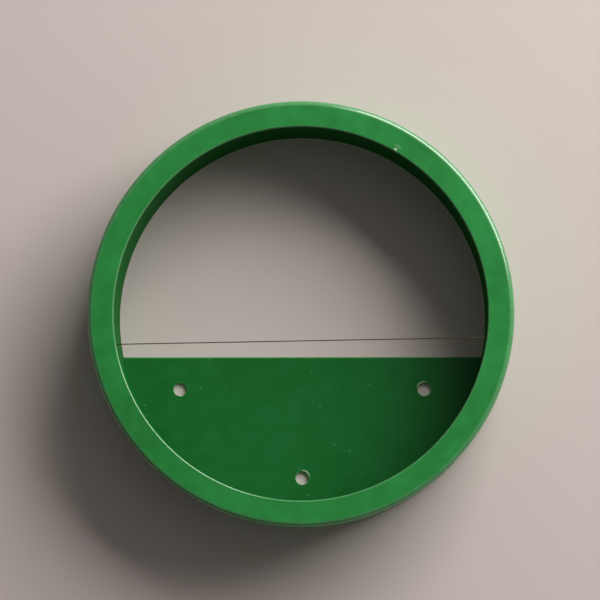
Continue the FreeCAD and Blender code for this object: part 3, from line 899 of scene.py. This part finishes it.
def wall_paint():
    """Matt wall paint on the front of the wall, and nothing on its back."""
    material = bpy.data.materials.new("matt_wall_paint")
    material.use_nodes = True
    tree = material.node_tree
    tree.nodes.clear()
    paint = add_node(tree, "ShaderNodeBsdfDiffuse", inputs={"Color": linear(WALL_COLOUR)})
    clear = add_node(tree, "ShaderNodeBsdfTransparent")
    side = add_node(tree, "ShaderNodeNewGeometry")
    mix = add_node(tree, "ShaderNodeMixShader", inputs={
        0: side.outputs["Backfacing"], 1: paint.outputs[0], 2: clear.outputs[0]})
    add_node(tree, "ShaderNodeOutputMaterial", inputs={"Surface": mix.outputs[0]})
    return material


reach = WALL_SIZE / 2
wall_mesh = bpy.data.meshes.new("wall")
wall_mesh.from_pydata(
    [(-reach, back + WALL_GAP, -reach), (reach, back + WALL_GAP, -reach),
     (reach, back + WALL_GAP, reach), (-reach, back + WALL_GAP, reach)],
    [], [(0, 1, 2, 3)])
wall_mesh.materials.append(wall_paint())
wall = bpy.data.objects.new("wall", wall_mesh)
scene.collection.objects.link(wall)
print("wall faces", [round(v, 1) for v in wall_mesh.polygons[0].normal])

# %% [markdown]
# ## Light
# One large softbox stands close, to the upper right and in front of the wall. Being close, it
# fades across the ring, and being large, it lets the shadow grow soft with distance. The dim
# world fills the shadows, more from the softbox's side than from the other.

# %% Softbox
SOFTBOX_CLOCK, SOFTBOX_LIFT = math.radians(48.5), math.radians(30.5)
SOFTBOX_DISTANCE = 1.3
SOFTBOX_WIDTH, SOFTBOX_HEIGHT = 1.26, 0.94
SOFTBOX_POWER = 27.0
SOFTBOX_COLOUR = "#FFFDFC"


def aim_light(light, direction, distance, level):
    """Stands a light off the ring in some direction, points it back at the ring, and turns it
    so that its width runs along level."""
    outward = direction.normalized()
    turned = Matrix((level, outward.cross(level), outward)).transposed()
    light.location = ring_front + outward * distance
    light.rotation_euler = turned.to_euler()
    scene.collection.objects.link(light)


softbox_data = bpy.data.lights.new("softbox", "AREA")
softbox_data.shape = "RECTANGLE"
softbox_data.size = SOFTBOX_WIDTH
softbox_data.size_y = SOFTBOX_HEIGHT
softbox_data.energy = SOFTBOX_POWER
softbox_data.color = linear(SOFTBOX_COLOUR)[:3]
softbox = bpy.data.objects.new("softbox", softbox_data)
toward_softbox = Vector((math.cos(SOFTBOX_LIFT) * math.cos(SOFTBOX_CLOCK),
                         -math.sin(SOFTBOX_LIFT),
                         math.cos(SOFTBOX_LIFT) * math.sin(SOFTBOX_CLOCK)))
aim_light(softbox, toward_softbox, SOFTBOX_DISTANCE,
          Vector((-math.sin(SOFTBOX_CLOCK), 0.0, math.cos(SOFTBOX_CLOCK))))
print("softbox at", [round(side, 2) for side in softbox.location], "m")

# %% Fill and backdrop
FILL_COLOUR, FILL_STRENGTH, FILL_LEAN = "#FFFAF6", 0.15, 0.9
BACKDROP_COLOUR = "#CFC8C3"

world = bpy.data.worlds.new("studio")
scene.world = world
world.use_nodes = True
world_tree = world.node_tree
world_tree.nodes.clear()
sky_direction = add_node(world_tree, "ShaderNodeTexCoord").outputs["Generated"]
toward_window = add_node(world_tree, "ShaderNodeVectorMath", {"operation": "DOT_PRODUCT"}, {
    0: sky_direction, 1: (math.cos(SOFTBOX_CLOCK), 0.0, math.sin(SOFTBOX_CLOCK))})
fill_strength = add_node(world_tree, "ShaderNodeMath", {"operation": "MULTIPLY_ADD"}, {
    0: toward_window.outputs["Value"], 1: FILL_STRENGTH * FILL_LEAN, 2: FILL_STRENGTH})
fill = add_node(world_tree, "ShaderNodeBackground", inputs={
    "Color": linear(FILL_COLOUR), "Strength": fill_strength.outputs[0]})
backdrop = add_node(world_tree, "ShaderNodeBackground", inputs={
    "Color": linear(BACKDROP_COLOUR)})
rays = add_node(world_tree, "ShaderNodeLightPath")
seen = add_node(world_tree, "ShaderNodeMixShader", inputs={
    0: rays.outputs["Is Camera Ray"], 1: fill.outputs[0], 2: backdrop.outputs[0]})
add_node(world_tree, "ShaderNodeOutputWorld", inputs={"Surface": seen.outputs[0]})
scene.view_settings.view_transform = "Standard"
print("world:", len(world_tree.nodes), "nodes")

# %% [markdown]
# ## Light for the back
# The back needs light of its own when it is looked at. One sun shines straight at it, and light
# linking keeps that sun off the wall. A ring of small lamps inside the channel shows its floor
# and walls, which no lamp outside could reach evenly.

# %% Rear sun
REAR_STRENGTH, REAR_SPREAD = 1.6, math.radians(6)


def rear_sun(name, lit):
    """A sun from straight behind that lights only the pieces given, and that only the large
    pieces can block."""
    data = bpy.data.lights.new(name, "SUN")
    data.energy = REAR_STRENGTH
    data.angle = REAR_SPREAD
    light = bpy.data.objects.new(name, data)
    behind = Vector((0.0, 1.0, 0.0))
    aim_light(light, behind, 1.0, behind.orthogonal().normalized())
    light.visible_glossy = False
    receivers = bpy.data.collections.new(f"{name}_lit")
    blockers = bpy.data.collections.new(f"{name}_blockers")
    for piece in lit:
        receivers.objects.link(piece)
    for piece in (shell, sleeve, plate):
        blockers.objects.link(piece)
    light.light_linking.receiver_collection = receivers
    light.light_linking.blocker_collection = blockers


rear_sun("rear_straight", (shell, sleeve, plate, sleeve_beads, plate_beads))

# %% Channel lamps
CHANNEL_LAMPS, CHANNEL_POWER = 16, 0.002
CHANNEL_MOUTH, CHANNEL_LAMP_WIDTH = 1.0 * MM, 0.3


def channel_lamps():
    """A ring of small lamps just inside the mouth of the channel between sleeve and outer wall.
    They shine towards the face's back, so they light nothing but the channel."""
    middle = (bore_radius + steel + wall_inside) / 2
    inwards = Vector((0.0, 1.0, 0.0))
    for i in range(CHANNEL_LAMPS):
        turn = 2 * math.pi * i / CHANNEL_LAMPS
        outward = Vector((math.cos(turn), 0.0, math.sin(turn)))
        data = bpy.data.lights.new(f"channel_lamp_{i}", "AREA")
        data.shape = "RECTANGLE"
        data.size = 2 * math.pi * middle / CHANNEL_LAMPS
        data.size_y = CHANNEL_LAMP_WIDTH * (wall_inside - bore_radius - steel)
        data.energy = CHANNEL_POWER
        lamp = bpy.data.objects.new(f"channel_lamp_{i}", data)
        turned = Matrix((outward.cross(inwards), outward, inwards)).transposed()
        lamp.rotation_euler = turned.to_euler()
        lamp.location = (middle * outward.x, back - CHANNEL_MOUTH,
                         ring_height + middle * outward.z)
        lamp.visible_camera = False
        lamp.visible_glossy = False
        scene.collection.objects.link(lamp)


channel_lamps()
